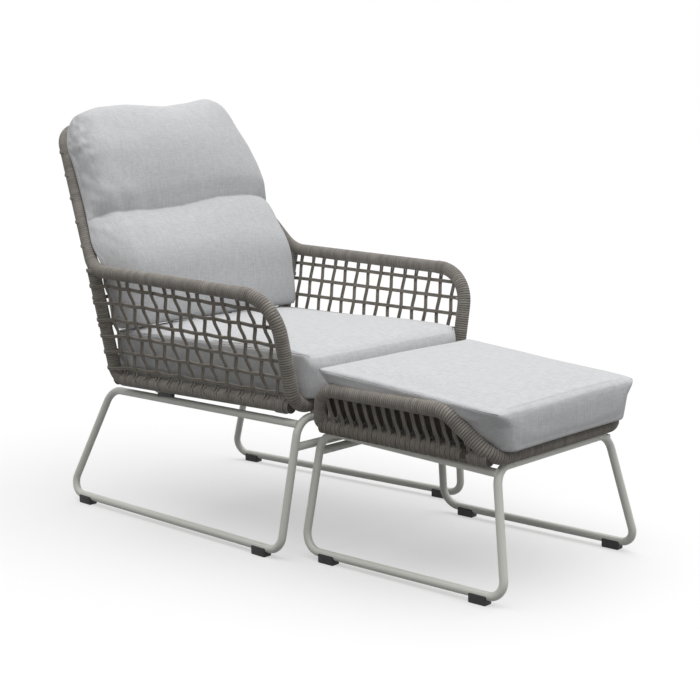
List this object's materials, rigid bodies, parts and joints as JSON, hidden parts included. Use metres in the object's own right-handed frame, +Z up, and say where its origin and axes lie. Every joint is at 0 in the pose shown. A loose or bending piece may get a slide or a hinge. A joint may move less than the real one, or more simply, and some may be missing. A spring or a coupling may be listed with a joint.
{
  "type": "lounge chair with footstool",
  "caption": "Lounge chair and footstool on bent tube frames, with rope-wrapped shells, open rope nets and loose cushions that lift off.",
  "frame": {"origin": "on the floor, under the middle of the chair and footstool together", "axes": "+Z up, +Y towards the chair's back, so the chair looks along -Y and +X is the sitter's left-hand side seen from the front as right"},
  "size_m": [0.7512, 1.4631, 1.0326],
  "materials": {
    "rope": "taupe grey braided cord, matte",
    "frame_paint": "light warm grey powder coat, satin",
    "cushion_fabric": "light grey woven outdoor fabric",
    "webbing": "dark flat elastic webbing",
    "black_plastic": "black moulded plastic"
  },
  "bodies": {
    "chair": {"chair_back_net_lower": "rope", "chair_back_net_upper": "rope", "chair_cross_tube": "frame_paint", "chair_foot_front_left": "black_plastic", "chair_foot_front_right": "black_plastic", "chair_foot_rear_left": "black_plastic", "chair_foot_rear_right": "black_plastic", "chair_front_bar": "frame_paint", "chair_loop_left": "rope", "chair_loop_right": "rope", "chair_rear_bar": "rope", "chair_seat_webbing": "webbing", "chair_side_frame_left": "frame_paint", "chair_side_frame_right": "frame_paint", "chair_side_net_left": "rope", "chair_side_net_right": "rope", "chair_side_rail_left": "rope", "chair_side_rail_right": "rope", "chair_spacer_front_left": "black_plastic", "chair_spacer_front_right": "black_plastic", "chair_spacer_rear_left": "black_plastic", "chair_spacer_rear_right": "black_plastic", "chair_stretcher": "frame_paint"},
    "seat_cushion": {"seat_cushion": "cushion_fabric"},
    "back_cushion": {"back_cushion": "cushion_fabric"},
    "stool": {"stool_cross_tube": "frame_paint", "stool_foot_front_left": "black_plastic", "stool_foot_front_right": "black_plastic", "stool_foot_rear_left": "black_plastic", "stool_foot_rear_right": "black_plastic", "stool_front_bar": "frame_paint", "stool_loop_left": "rope", "stool_loop_right": "rope", "stool_lower_rail_left": "rope", "stool_lower_rail_right": "rope", "stool_side_frame_left": "frame_paint", "stool_side_frame_right": "frame_paint", "stool_spacer_front_left": "black_plastic", "stool_spacer_front_right": "black_plastic", "stool_spacer_rear_left": "black_plastic", "stool_spacer_rear_right": "black_plastic", "stool_stretcher": "frame_paint", "stool_webbing": "webbing", "stool_wing_cords_left": "rope", "stool_wing_cords_right": "rope"},
    "stool_cushion": {"stool_cushion": "cushion_fabric"}
  },
  "joints": [
    {"name": "seat_cushion_lift", "type": "slide", "parent": "chair", "child": "seat_cushion", "axis": [0, 0, 1], "range_m": [0, 0.2]},
    {"name": "back_cushion_lift", "type": "slide", "parent": "seat_cushion", "child": "back_cushion", "axis": [0, 0, 1], "range_m": [0, 0.25]},
    {"name": "stool_slide", "type": "slide", "parent": "chair", "child": "stool", "axis": [0, -1, 0], "range_m": [0, 0.4]},
    {"name": "stool_cushion_lift", "type": "slide", "parent": "stool", "child": "stool_cushion", "axis": [0, 0, 1], "range_m": [0, 0.2]}
  ]
}
